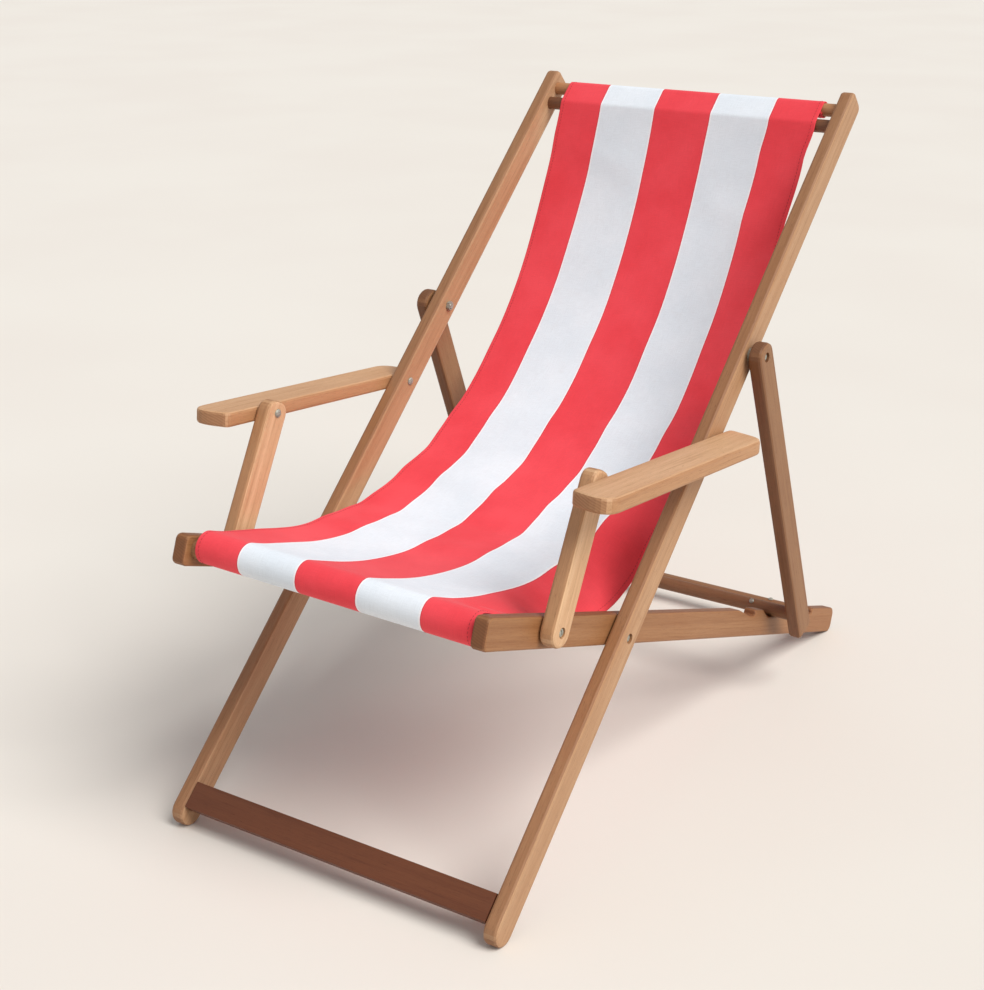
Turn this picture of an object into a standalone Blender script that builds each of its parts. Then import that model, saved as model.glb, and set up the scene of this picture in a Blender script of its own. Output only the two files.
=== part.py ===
"""Folding deck chair with armrests: a hardwood frame that carries a striped canvas sling.

blender --background --python part.py

Metres, +Z up, the ground at Z = 0. The sitter faces -Y and X = 0 is the plane of symmetry.
Five wooden linkages fold flat: the long frame (front feet to head), the seat frame, the prop
behind the back, and an armrest with its strut on each side. Each linkage has an empty on its
joint axis. In that empty's own coordinates X runs along the wood, Y is square to its top edge
and Z is the chair's +X, so every piece is placed as (along, off, sideways).
"""

import math

import bmesh
import bpy
from mathutils import Euler, Matrix, Vector

# Clearance between pieces that touch, and between a shank and its hole.
GAP = 0.0003

# Stock.
RAIL_WIDTH = 0.042
RAIL_THICK = 0.021
HALF = RAIL_WIDTH / 2
EDGE = 0.004
ARC_STEP = math.radians(18)

# Sideways layers, from the plane of symmetry out.
LONG_OUT = 0.270
LONG_IN = LONG_OUT - RAIL_THICK
WASHER_SPACE = 0.002
SEAT_OUT = LONG_IN - WASHER_SPACE
SEAT_IN = SEAT_OUT - RAIL_THICK
ARM_IN = LONG_OUT + 0.0014
ARM_OUT = 0.333
PROP_IN = LONG_OUT + 0.0065
PROP_THICK = 0.020
PROP_OUT = PROP_IN + PROP_THICK

# The main pivot, where long frame and seat frame cross, and the angles of the set-up chair.
MAIN_Y = -0.2235
MAIN_Z = 0.297
LONG_ANGLE = math.radians(42.40)
SEAT_ANGLE = math.radians(-20.61)
PROP_ANGLE = math.radians(-68.63)
ARM_ANGLE = math.radians(-6.38)

# Long frame, measured from the main pivot along the rail.
LONG_TOP = 0.9215
TOP_CORNER = 0.010
STRETCHER_AT = -0.391
STRETCHER_WIDTH = 0.038
STRETCHER_THICK = 0.018
SHOULDER = 0.006
TOP_DOWEL_RADIUS = 0.010
TOP_DOWELS_AT = (0.897, 0.866)
PROP_PIVOT_AT = 0.4542
ARM_PIVOT_AT = 0.311

# Seat frame, measured from the main pivot along the rail towards the rear.
SEAT_OFF = 0.007
SEAT_FRONT = -0.327
SEAT_FRONT_CORNER = 0.009
SEAT_REAR_CORNER = 0.012
FRONT_DOWEL_RADIUS = 0.0135
FRONT_DOWEL_AT = -0.302
FRONT_DOWEL_OFF = 0.003
REAR_DOWEL_RADIUS = 0.012
REAR_DOWEL_AT = 0.766
REAR_DOWEL_OFF = 0.003
STRUT_PIVOT_AT = -0.188
STRUT_PIVOT_OFF = 0.005
NOTCH_DEPTH = 0.0095
# Along the seat rail: where a notch's ramp starts, where its bed starts, and its steep wall.
REAR_NOTCH = (0.606, 0.665, 0.712)
FRONT_NOTCH = (0.408, 0.452, 0.470)
MIDDLE_RAMP = (0.500, 0.524)
WALL_SLANT = 0.004

# Prop, measured from its pivot down the leg.
PROP_HALF = 0.0215
PROP_TOP = -0.0195
PROP_TOP_CORNER = 0.0195
PROP_END = 0.540
PROP_DOWEL_AT = 0.508
PROP_DOWEL_RADIUS = 0.0107

# Armrest, measured from its pivot towards the rear, and the strut that carries its front.
ARM_FRONT = -0.3985
ARM_REAR = 0.046
ARM_THICK = 0.021
ARM_OFF = -0.0022
ARM_EDGE = 0.0038
# How much further forward an armrest's outer rear corner is than its inner one.
ARM_REAR_SLANT = {"left": 0.004, "right": 0.018}
SCREW_ROOM = 0.002
ARM_STRUT_AT = -0.313
STRUT_FOOT = 0.0205
STRUT_HEAD = 0.0165

# Blind holes for dowels.
SOCKET = 0.012

# Hardware.
SHANK = 0.004
SCREW_SHANK = 0.003
HEAD = 0.006
SINK_RADIUS = 0.0072
SINK_DEPTH = 0.005
STRUT_SINK = 0.0035
NUT_ACROSS = 0.0125
NUT_THICK = 0.0048
WASHER_RADIUS = 0.010
ARM_WASHER_RADIUS = 0.0065
THREAD_PAST_NUT = 0.0015
HEAD_RISE = 0.0028
TIP_CHAMFER = 0.0006
SLOT_WIDTH = 0.0013
SLOT_DEPTH = 0.0015
SLOT_TURN = math.radians(35)
SCREW_IN_ARM = 0.040
PEG_HEAD = 0.004
PEG_SHANK = 0.0016
PEG_RISE = 0.0030
PEG_LENGTH = 0.009
REAR_PEG_AT = 0.1514
PROP_PEG_AT = 0.209
PROP_PEG_LEAN = math.radians(35)

# Sling.
CLOTH = 0.0016
SLING_HALF = 0.222
SLING_SLACK_TOP = 0.430
SLING_SLACK_FRONT = 0.442
SLING_TOP_TURN = math.radians(32)
SLING_FRONT_SLOPE = math.radians(22.83)
SLING_FRONT_WRAP = math.radians(228)
TOP_TAIL = 0.009
HEM = 0.028
TOP_STEPS, LOWER_STEPS, RUN_STEPS, FRONT_STEPS = 12, 2, 26, 9

SIDES = (("left", -1), ("right", 1))


# ---------------------------------------------------------------- scene and materials


def clear_scene():
    for obj in list(bpy.data.objects):
        bpy.data.objects.remove(obj, do_unlink=True)


def new_collection(name, rendered=True):
    collection = bpy.data.collections.new(name)
    collection.hide_render = not rendered
    bpy.context.scene.collection.children.link(collection)
    return collection


def material(name, color, roughness, metallic=0.0):
    made = bpy.data.materials.new(name)
    made.use_nodes = True
    made.diffuse_color = (*color, 1)
    shader = made.node_tree.nodes["Principled BSDF"]
    shader.inputs["Base Color"].default_value = (*color, 1)
    shader.inputs["Roughness"].default_value = roughness
    shader.inputs["Metallic"].default_value = metallic
    return made


# ---------------------------------------------------------------- shape helpers


def rounded_outline(corners):
    """Points round a polygon whose corners are (x, y, radius), each turned into an arc."""
    points = []
    for index, (x, y, radius) in enumerate(corners):
        here = Vector((x, y))
        back = (Vector(corners[index - 1][:2]) - here).normalized()
        ahead = (Vector(corners[(index + 1) % len(corners)][:2]) - here).normalized()
        opening = back.angle(ahead)
        turn = math.pi - opening
        centre = here + (back + ahead).normalized() * (radius / math.sin(opening / 2))
        first = here + back * (radius / math.tan(opening / 2)) - centre
        spin = turn if back.cross(ahead) < 0 else -turn
        steps = max(2, round(turn / ARC_STEP))
        for step in range(steps + 1):
            point = centre + Matrix.Rotation(spin * step / steps, 2) @ first
            if not points or (point - points[-1]).length > 1e-5:
                points.append(point)
    if (points[-1] - points[0]).length < 1e-5:
        points.pop()
    return points


def mesh_from_curve(name, curve):
    """The mesh that a curve makes, welded, with each flat face left as one face."""
    source = bpy.data.objects.new(name, curve)
    bpy.context.scene.collection.objects.link(source)
    bpy.context.view_layer.update()
    mesh = bpy.data.meshes.new_from_object(source)
    bpy.data.objects.remove(source)
    bpy.data.curves.remove(curve)
    shape = bmesh.new()
    shape.from_mesh(mesh)
    bmesh.ops.remove_doubles(shape, verts=shape.verts, dist=1e-6)
    bmesh.ops.dissolve_limit(
        shape, angle_limit=math.radians(1), verts=shape.verts, edges=shape.edges
    )
    bmesh.ops.recalc_face_normals(shape, faces=shape.faces)
    shape.to_mesh(mesh)
    shape.free()
    mesh.name = name
    return mesh


def add_object(name, mesh, collection, finish):
    obj = bpy.data.objects.new(name, mesh)
    collection.objects.link(obj)
    mesh.materials.clear()
    mesh.materials.append(finish)
    return obj


def place(obj, frame, along, off, sideways):
    obj.parent = frame
    obj.location = (along, off, sideways)
    return obj


def board(name, outline, thickness, edge, finish, flat=False):
    """A board with this outline. It stands on edge, or lies flat with its outline sideways."""
    curve = bpy.data.curves.new(name, "CURVE")
    curve.dimensions = "2D"
    curve.fill_mode = "BOTH"
    curve.extrude = thickness / 2
    spline = curve.splines.new("POLY")
    spline.points.add(len(outline) - 1)
    for point, (x, y) in zip(spline.points, outline):
        point.co = (x, y, 0, 1)
    spline.use_cyclic_u = True
    mesh = mesh_from_curve(name, curve)
    if flat:
        mesh.transform(Matrix.Rotation(math.radians(90), 4, "X"))
    obj = add_object(name, mesh, PARTS, finish)
    bevel = obj.modifiers.new("rounded edges", "BEVEL")
    bevel.width = edge
    bevel.segments = 2
    bevel.limit_method = "ANGLE"
    bevel.angle_limit = math.radians(50)
    return obj


def rod_mesh(name, radius, length, sides=24):
    """A closed cylinder along Z, centred on its origin."""
    shape = bmesh.new()
    bmesh.ops.create_cone(
        shape, cap_ends=True, segments=sides, radius1=radius, radius2=radius, depth=length
    )
    mesh = bpy.data.meshes.new(name)
    shape.to_mesh(mesh)
    shape.free()
    for face in mesh.polygons:
        face.use_smooth = len(face.vertices) == 4
    return mesh


def rod(name, radius, length, finish):
    return add_object(name, rod_mesh(name, radius, length), PARTS, finish)


def turned(name, profile, finish, ring=False):
    """A piece turned about Z from a profile of (radius, z) that runs down its outer side."""
    mesh = bpy.data.meshes.new(name)
    shape = bmesh.new()
    points = [shape.verts.new((radius, 0, z)) for radius, z in profile]
    ends = points[1:] + points[:1] if ring else points[1:]
    for start, end in zip(points, ends):
        shape.edges.new((start, end))
    shape.to_mesh(mesh)
    shape.free()
    obj = add_object(name, mesh, PARTS, finish)
    screw = obj.modifiers.new("turned", "SCREW")
    screw.steps = 20
    screw.render_steps = 20
    screw.use_merge_vertices = True
    screw.merge_threshold = 1e-5
    return obj


def cut(obj, cutter_mesh, along, off, sideways, rotation=(0, 0, 0)):
    """Cuts a mesh out of an object, at a place in the coordinates of the object's empty."""
    cutter = bpy.data.objects.new(f"{obj.name} cutter", cutter_mesh)
    CUTTERS.objects.link(cutter)
    cutter.display_type = "WIRE"
    cutter.hide_render = True
    cutter.parent = obj.parent
    cutter.location = (along, off, sideways)
    cutter.rotation_euler = rotation
    boolean = obj.modifiers.new("cut", "BOOLEAN")
    boolean.operation = "DIFFERENCE"
    boolean.solver = "EXACT"
    boolean.object = cutter


def drill(obj, radius, along, off, start, end, sides=20):
    """A hole along Z from start to end, in the coordinates of the object's empty."""
    mesh = rod_mesh("drill", radius, abs(end - start), sides)
    cut(obj, mesh, along, off, (start + end) / 2)


def box_mesh(name, size):
    shape = bmesh.new()
    bmesh.ops.create_cube(shape, size=1)
    bmesh.ops.scale(shape, vec=size, verts=shape.verts)
    mesh = bpy.data.meshes.new(name)
    shape.to_mesh(mesh)
    shape.free()
    return mesh


# ---------------------------------------------------------------- linkages


def linkage(name, y, z, angle):
    """An empty on a joint axis: its X runs along the wood and its Z is the chair's +X."""
    empty = bpy.data.objects.new(name, None)
    PARTS.objects.link(empty)
    empty.empty_display_size = 0.05
    empty.location = (0, y, z)
    square = Euler((math.pi / 2, 0, math.pi / 2)).to_matrix()
    empty.rotation_euler = (Matrix.Rotation(angle, 3, "X") @ square).to_euler()
    return empty


def at(y, z, angle, along, off=0.0):
    """Where (along, off) of a linkage at this place and angle lies, as (y, z)."""
    return (
        y + along * math.cos(angle) - off * math.sin(angle),
        z + along * math.sin(angle) + off * math.cos(angle),
    )


# ---------------------------------------------------------------- hardware


def facing(obj, side):
    """Turns a piece modelled for the right-hand side, which points to +X, to its own side."""
    obj.rotation_euler = (0, 0 if side > 0 else math.pi, 0)
    return obj


def bolt(name, frame, along, off, side, head_at, tip_at, shank):
    """A dome-headed bolt whose head rests at head_at, with its tip at tip_at."""
    length = abs(head_at - tip_at)
    profile = [
        (0, HEAD_RISE),
        (HEAD * 0.5, HEAD_RISE * 0.93),
        (HEAD * 0.82, HEAD_RISE * 0.68),
        (HEAD, HEAD_RISE * 0.3),
        (HEAD, 0),
        (shank, 0),
        (shank, -length + TIP_CHAMFER),
        (shank - TIP_CHAMFER, -length),
        (0, -length),
    ]
    obj = turned(name, profile, ZINC)
    place(obj, frame, along, off, side * head_at)
    return facing(obj, side if head_at > tip_at else -side)


def washer(name, frame, along, off, side, near, far, hole, radius=WASHER_RADIUS):
    """A ring that fills the space between two faces, less the clearance."""
    half = (far - near) / 2 - GAP
    inner = hole + GAP
    profile = [(inner, half), (radius, half), (radius, -half), (inner, -half)]
    obj = turned(name, profile, ZINC, ring=True)
    return place(obj, frame, along, off, side * (near + far) / 2)


def nut(name, frame, along, off, side, face, shank):
    """A hexagon nut on the inner side of a face."""
    mesh = rod_mesh(name, NUT_ACROSS / 2 / math.cos(math.pi / 6), NUT_THICK, 6)
    for polygon in mesh.polygons:
        polygon.use_smooth = False
    obj = add_object(name, mesh, PARTS, ZINC)
    place(obj, frame, along, off, side * (face - GAP - NUT_THICK / 2))
    drill(obj, shank + GAP, along, off, side * (face + 0.01), side * (face - 0.02), 16)
    return obj


def slot_head(obj, frame, along, off, side, top):
    """The screwdriver slot across a bolt's head."""
    mesh = box_mesh("slot", (SLOT_WIDTH, 4 * HEAD, 2 * SLOT_DEPTH))
    cut(obj, mesh, along, off, side * top, (0, 0, SLOT_TURN))


# ---------------------------------------------------------------- long frame


def long_rail(side_name, side, frame):
    corners = [
        (-FOOT, -HALF, HALF),
        (LONG_TOP, -HALF, TOP_CORNER),
        (LONG_TOP, HALF, TOP_CORNER),
        (-FOOT, HALF, HALF),
    ]
    obj = board(
        f"long_rail_{side_name}", rounded_outline(corners), RAIL_THICK, EDGE, WOOD
    )
    place(obj, frame, 0, 0, side * (LONG_IN + LONG_OUT) / 2)
    inner, outer = side * (LONG_IN - 0.01), side * (LONG_OUT + 0.01)
    for along, shank in ((0, SHANK), (PROP_PIVOT_AT, SHANK), (ARM_PIVOT_AT, SCREW_SHANK)):
        drill(obj, shank + GAP, along, 0, inner, outer)
    drill(obj, SINK_RADIUS, 0, 0, side * (LONG_OUT - SINK_DEPTH), outer)
    for along in TOP_DOWELS_AT:
        drill(obj, TOP_DOWEL_RADIUS + GAP, along, 0, inner, side * (LONG_IN + SOCKET), 24)
    tenon = STRETCHER_THICK - SHOULDER
    mortise = box_mesh("mortise", (STRETCHER_WIDTH + 2 * GAP, tenon + 2 * GAP, 2 * SOCKET))
    cut(obj, mortise, STRETCHER_AT, STRETCHER_OFF - SHOULDER / 2, side * LONG_IN)
    return obj


def front_stretcher(frame):
    """A flat bar flush with the rails' front edges, with a tenon behind each front shoulder."""
    half_length = LONG_IN + SOCKET - GAP
    half_width = STRETCHER_WIDTH / 2
    corners = [
        (-half_width, -half_length, 0.001),
        (half_width, -half_length, 0.001),
        (half_width, half_length, 0.001),
        (-half_width, half_length, 0.001),
    ]
    obj = board(
        "front_stretcher", rounded_outline(corners), STRETCHER_THICK, 0.003, WOOD, True
    )
    place(obj, frame, STRETCHER_AT, STRETCHER_OFF, 0)
    for _, side in SIDES:
        waste = box_mesh("shoulder", (2 * STRETCHER_WIDTH, 2 * SHOULDER, 2 * SOCKET))
        middle = side * (LONG_IN - GAP + SOCKET)
        cut(obj, waste, STRETCHER_AT, HALF, middle)
    return obj


def top_dowels(frame):
    length = 2 * (LONG_IN + SOCKET - GAP)
    for name, along in zip(("upper", "lower"), TOP_DOWELS_AT):
        place(
            rod(f"top_dowel_{name}", TOP_DOWEL_RADIUS, length, WOOD), frame, along, 0, 0
        )


def main_pivot(side_name, side, frame):
    """The bolt through long rail and seat rail, its head sunk in the long rail's outer face."""
    head_at = LONG_OUT - SINK_DEPTH + GAP
    tip_at = SEAT_IN - NUT_THICK - THREAD_PAST_NUT
    bolt(f"main_bolt_{side_name}", frame, 0, 0, side, head_at, tip_at, SHANK)
    washer(f"main_washer_{side_name}", frame, 0, 0, side, SEAT_OUT, LONG_IN, SHANK)
    nut(f"main_nut_{side_name}", frame, 0, 0, side, SEAT_IN, SHANK)


def prop_pivot(side_name, side, frame):
    """The bolt through prop leg and long rail, with a spacer between them."""
    along = PROP_PIVOT_AT
    head_at = PROP_OUT - SINK_DEPTH + GAP
    tip_at = LONG_IN - NUT_THICK - THREAD_PAST_NUT
    bolt(f"prop_bolt_{side_name}", frame, along, 0, side, head_at, tip_at, SHANK)
    washer(f"prop_spacer_{side_name}", frame, along, 0, side, LONG_OUT, PROP_IN, SHANK)
    nut(f"prop_nut_{side_name}", frame, along, 0, side, LONG_IN, SHANK)


# ---------------------------------------------------------------- seat frame


def notch(ramp, bed, wall):
    """Corners of one notch in a rail's top edge, from its wall forward to the head of its ramp."""
    low = HALF - NOTCH_DEPTH
    return [(wall, HALF, 0.006), (wall, low, 0.003), (bed, low, 0.006), (ramp, HALF, 0.020)]


def seat_outline():
    """A rail with three notches in its top edge, each with its steep wall to the rear."""
    dowel = along_seat(PROP_DOWEL_POINT)
    bed = off_seat(PROP_DOWEL_POINT) - PROP_DOWEL_RADIUS - GAP
    wall = dowel + PROP_DOWEL_RADIUS + GAP
    return rounded_outline(
        [
            (SEAT_FRONT, -HALF, SEAT_FRONT_CORNER),
            (SEAT_REAR, -HALF, SEAT_REAR_CORNER),
            (SEAT_REAR, HALF, SEAT_REAR_CORNER),
            *notch(*REAR_NOTCH),
            (wall + WALL_SLANT, HALF, 0.004),
            (wall, bed, 0.005),
            (MIDDLE_RAMP[1], bed, 0.004),
            (MIDDLE_RAMP[0], HALF, 0.008),
            *notch(*FRONT_NOTCH),
            (SEAT_FRONT, HALF, SEAT_FRONT_CORNER),
        ]
    )


def seat_rail(side_name, side, frame):
    obj = board(f"seat_rail_{side_name}", seat_outline(), RAIL_THICK, 0.003, WOOD)
    place(obj, frame, 0, SEAT_OFF, side * (SEAT_IN + SEAT_OUT) / 2)
    inner, outer = side * (SEAT_IN - 0.01), side * (SEAT_OUT + 0.01)
    socket = side * (SEAT_IN + SOCKET)
    drill(obj, SHANK + GAP, 0, 0, inner, outer)
    drill(obj, SHANK + GAP, STRUT_PIVOT_AT, SEAT_OFF + STRUT_PIVOT_OFF, inner, outer)
    drill(
        obj, FRONT_DOWEL_RADIUS + GAP, FRONT_DOWEL_AT, SEAT_OFF + FRONT_DOWEL_OFF, inner, socket, 24
    )
    drill(
        obj, REAR_DOWEL_RADIUS + GAP, REAR_DOWEL_AT, SEAT_OFF + REAR_DOWEL_OFF, inner, socket, 24
    )
    return obj


def seat_dowels(frame):
    length = 2 * (SEAT_IN + SOCKET - GAP)
    front = rod("seat_front_dowel", FRONT_DOWEL_RADIUS, length, WOOD)
    place(front, frame, FRONT_DOWEL_AT, SEAT_OFF + FRONT_DOWEL_OFF, 0)
    rear = rod("seat_rear_dowel", REAR_DOWEL_RADIUS, length, WOOD)
    place(rear, frame, REAR_DOWEL_AT, SEAT_OFF + REAR_DOWEL_OFF, 0)
    return rear


def strut_pivot(side_name, side, frame):
    """The slotted bolt through strut and seat rail."""
    along, off = STRUT_PIVOT_AT, SEAT_OFF + STRUT_PIVOT_OFF
    head_at = LONG_OUT - STRUT_SINK + GAP
    tip_at = SEAT_IN - NUT_THICK - THREAD_PAST_NUT
    head = bolt(f"strut_bolt_{side_name}", frame, along, off, side, head_at, tip_at, SHANK)
    slot_head(head, frame, along, off, side, head_at + HEAD_RISE)
    washer(f"strut_washer_{side_name}", frame, along, off, side, SEAT_OUT, LONG_IN, SHANK)
    nut(f"strut_nut_{side_name}", frame, along, off, side, SEAT_IN, SHANK)


# ---------------------------------------------------------------- prop


def prop_leg(side_name, side, frame):
    corners = [
        (PROP_TOP, -PROP_HALF, PROP_TOP_CORNER),
        (PROP_END, -PROP_HALF, 0.008),
        (PROP_END, PROP_HALF, 0.008),
        (PROP_TOP, PROP_HALF, PROP_TOP_CORNER),
    ]
    obj = board(f"prop_leg_{side_name}", rounded_outline(corners), PROP_THICK, EDGE, WOOD)
    place(obj, frame, 0, 0, side * (PROP_IN + PROP_OUT) / 2)
    inner, outer = side * (PROP_IN - 0.01), side * (PROP_OUT + 0.01)
    drill(obj, SHANK + GAP, 0, 0, inner, outer)
    drill(obj, SINK_RADIUS, 0, 0, side * (PROP_OUT - SINK_DEPTH), outer)
    drill(obj, PROP_DOWEL_RADIUS + GAP, PROP_DOWEL_AT, 0, inner, side * (PROP_IN + SOCKET), 24)
    return obj


def prop_dowel(frame):
    length = 2 * (PROP_IN + SOCKET - GAP)
    obj = rod("prop_dowel", PROP_DOWEL_RADIUS, length, WOOD)
    return place(obj, frame, PROP_DOWEL_AT, 0, 0)


def peg(name, dowel, frame, along, off, sideways, radius, lean):
    """A round-headed screw that stands on a dowel. Lean turns it in the linkage's plane."""
    profile = [
        (0, PEG_RISE),
        (PEG_HEAD * 0.6, PEG_RISE * 0.87),
        (PEG_HEAD, PEG_RISE * 0.4),
        (PEG_HEAD, GAP),
        (PEG_SHANK, GAP),
        (PEG_SHANK, 2 * PEG_SHANK - PEG_LENGTH),
        (0, -PEG_LENGTH),
    ]
    out = Vector((-math.sin(lean), math.cos(lean)))
    foot = Vector((along, off)) + out * radius
    turn = Euler((-math.pi / 2, 0, 0)).to_matrix()
    rotation = (Matrix.Rotation(lean, 3, "Z") @ turn).to_euler()
    screw = turned(name, profile, ZINC)
    place(screw, frame, foot.x, foot.y, sideways)
    screw.rotation_euler = rotation
    hole = rod_mesh("peg hole", PEG_SHANK + GAP, 2 * (PEG_LENGTH + SCREW_ROOM), 12)
    cut(dowel, hole, foot.x, foot.y, sideways, rotation)


# ---------------------------------------------------------------- armrests


def armrest(side_name, side, frame):
    middle = (ARM_IN + ARM_OUT) / 2
    inner, outer = side * (ARM_IN - middle), side * (ARM_OUT - middle)
    corners = [
        (ARM_FRONT + 0.009, inner, 0.011),
        (ARM_REAR, inner, 0.008),
        (ARM_REAR - ARM_REAR_SLANT[side_name], outer, 0.026),
        (ARM_FRONT, outer, 0.0215),
        (ARM_FRONT, (inner + outer) / 2, 0.060),
    ]
    obj = board(f"armrest_{side_name}", rounded_outline(corners), ARM_THICK, ARM_EDGE, WOOD, True)
    place(obj, frame, 0, ARM_OFF, side * middle)
    for along in (0, ARM_STRUT_AT):
        deep = ARM_IN + SCREW_ROOM + (SCREW_IN_ARM if along == 0 else SOCKET)
        drill(obj, SCREW_SHANK + GAP, along, 0, side * (ARM_IN - 0.01), side * deep, 16)
    return obj


def arm_pivot(side_name, side, frame):
    """The screw through the long rail into the armrest's edge."""
    head_at = LONG_IN - GAP
    tip_at = ARM_IN + SCREW_IN_ARM
    bolt(f"arm_screw_{side_name}", frame, 0, 0, side, head_at, tip_at, SCREW_SHANK)
    washer(
        f"arm_washer_{side_name}",
        frame,
        0,
        0,
        side,
        LONG_OUT,
        ARM_IN,
        SCREW_SHANK,
        ARM_WASHER_RADIUS,
    )


def arm_strut(side_name, side, frame):
    corners = [
        (-STRUT_FOOT, -HALF, STRUT_FOOT),
        (STRUT_LENGTH + STRUT_HEAD, -HALF, STRUT_HEAD),
        (STRUT_LENGTH + STRUT_HEAD, HALF, STRUT_HEAD),
        (-STRUT_FOOT, HALF, STRUT_FOOT),
    ]
    obj = board(f"arm_strut_{side_name}", rounded_outline(corners), RAIL_THICK, EDGE, WOOD)
    place(obj, frame, 0, 0, side * (LONG_IN + LONG_OUT) / 2)
    inner, outer = side * (LONG_IN - 0.01), side * (LONG_OUT + 0.01)
    drill(obj, SHANK + GAP, 0, 0, inner, outer)
    drill(obj, SINK_RADIUS, 0, 0, side * (LONG_OUT - STRUT_SINK), outer)
    drill(obj, SCREW_SHANK + GAP, STRUT_LENGTH, 0, inner, outer)
    return obj


def strut_screw(side_name, side, frame):
    """The screw that holds the armrest's front. It stops short of the armrest."""
    head_at = LONG_IN - GAP
    tip_at = ARM_IN - GAP
    bolt(
        f"strut_screw_{side_name}", frame, STRUT_LENGTH, 0, side, head_at, tip_at, SCREW_SHANK
    )


# ---------------------------------------------------------------- sling


def bezier(start, start_handle, end_handle, end, steps):
    """Points of a cubic curve, without its first."""
    points = []
    for step in range(1, steps + 1):
        t = step / steps
        points.append(
            start * (1 - t) ** 3
            + start_handle * 3 * t * (1 - t) ** 2
            + end_handle * 3 * t**2 * (1 - t)
            + end * t**3
        )
    return points


def arc(centre, radius, first, last, steps):
    """Points round a centre, from one angle to another."""
    points = []
    for step in range(steps + 1):
        angle = first + (last - first) * step / steps
        points.append(centre + radius * Vector((math.cos(angle), math.sin(angle))))
    return points


def sling_path():
    """The cloth's middle line in (y, z): round the top dowels, down the back, round the front."""
    along = Vector((math.cos(LONG_ANGLE), math.sin(LONG_ANGLE)))
    upper, lower = (
        Vector(at(MAIN_Y, MAIN_Z, LONG_ANGLE, place_at)) for place_at in TOP_DOWELS_AT
    )
    top_wrap = TOP_DOWEL_RADIUS + GAP + CLOTH
    square = math.pi / 2 + LONG_ANGLE
    under = upper - along * top_wrap
    path = [under + Vector((math.cos(square), math.sin(square))) * TOP_TAIL]
    path += arc(upper, top_wrap, LONG_ANGLE + math.pi, LONG_ANGLE + 2.5 * math.pi, TOP_STEPS)
    path += arc(lower, top_wrap, square, square + SLING_TOP_TURN, LOWER_STEPS)
    down = LONG_ANGLE + math.pi + SLING_TOP_TURN
    front = Vector(
        at(MAIN_Y, MAIN_Z, SEAT_ANGLE, FRONT_DOWEL_AT, SEAT_OFF + FRONT_DOWEL_OFF)
    )
    front_wrap = FRONT_DOWEL_RADIUS + GAP + CLOTH
    meets = math.pi / 2 - SLING_FRONT_SLOPE
    touch = front + front_wrap * Vector((math.cos(meets), math.sin(meets)))
    rise = Vector((math.cos(SLING_FRONT_SLOPE), -math.sin(SLING_FRONT_SLOPE)))
    path += bezier(
        path[-1],
        path[-1] + SLING_SLACK_TOP * Vector((math.cos(down), math.sin(down))),
        touch + SLING_SLACK_FRONT * rise,
        touch,
        RUN_STEPS,
    )
    leaves = meets + SLING_FRONT_WRAP
    path += arc(front, front_wrap, meets, leaves, FRONT_STEPS)[1:]
    path.append(path[-1] + HEM * Vector((-math.sin(leaves), math.cos(leaves))))
    return path


def sling():
    mesh = bpy.data.meshes.new("sling")
    shape = bmesh.new()
    points = [shape.verts.new((-SLING_HALF, y, z)) for y, z in sling_path()]
    edges = [shape.edges.new(pair) for pair in zip(points, points[1:])]
    swept = bmesh.ops.extrude_edge_only(shape, edges=edges)["geom"]
    moved = [item for item in swept if isinstance(item, bmesh.types.BMVert)]
    bmesh.ops.translate(shape, vec=(2 * SLING_HALF, 0, 0), verts=moved)
    for face in shape.faces:
        face.smooth = True
    shape.to_mesh(mesh)
    shape.free()
    obj = add_object("sling", mesh, PARTS, CANVAS)
    thickness = obj.modifiers.new("cloth", "SOLIDIFY")
    thickness.thickness = CLOTH
    thickness.offset = 0
    return obj


# ---------------------------------------------------------------- derived places


def long_at(along):
    return Vector(at(MAIN_Y, MAIN_Z, LONG_ANGLE, along))


def along_seat(point):
    """How far along the seat rail a point in (y, z) lies."""
    y, z = point - Vector((MAIN_Y, MAIN_Z))
    return y * math.cos(SEAT_ANGLE) + z * math.sin(SEAT_ANGLE)


def off_seat(point):
    """How far above the seat rail's centre line a point in (y, z) lies."""
    y, z = point - Vector((MAIN_Y, MAIN_Z))
    return -y * math.sin(SEAT_ANGLE) + z * math.cos(SEAT_ANGLE) - SEAT_OFF


# The long rail's round foot and the seat rail's rear corner both rest on the ground.
FOOT = (MAIN_Z - HALF) / math.sin(LONG_ANGLE) + HALF
CORNER_OFF = SEAT_OFF - HALF + SEAT_REAR_CORNER
SEAT_REAR = SEAT_REAR_CORNER + (
    MAIN_Z - SEAT_REAR_CORNER + CORNER_OFF * math.cos(SEAT_ANGLE)
) / math.sin(-SEAT_ANGLE)
STRETCHER_OFF = HALF - STRETCHER_THICK / 2

PROP_PIVOT = long_at(PROP_PIVOT_AT)
PROP_DOWEL_POINT = Vector(at(*PROP_PIVOT, PROP_ANGLE, PROP_DOWEL_AT))
ARM_PIVOT = long_at(ARM_PIVOT_AT)
ARM_STRUT = Vector(at(*ARM_PIVOT, ARM_ANGLE, ARM_STRUT_AT))
STRUT_PIVOT = Vector(
    at(MAIN_Y, MAIN_Z, SEAT_ANGLE, STRUT_PIVOT_AT, SEAT_OFF + STRUT_PIVOT_OFF)
)
STRUT_RUN = ARM_STRUT - STRUT_PIVOT
STRUT_LENGTH = STRUT_RUN.length
STRUT_ANGLE = math.atan2(STRUT_RUN.y, STRUT_RUN.x)

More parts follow.
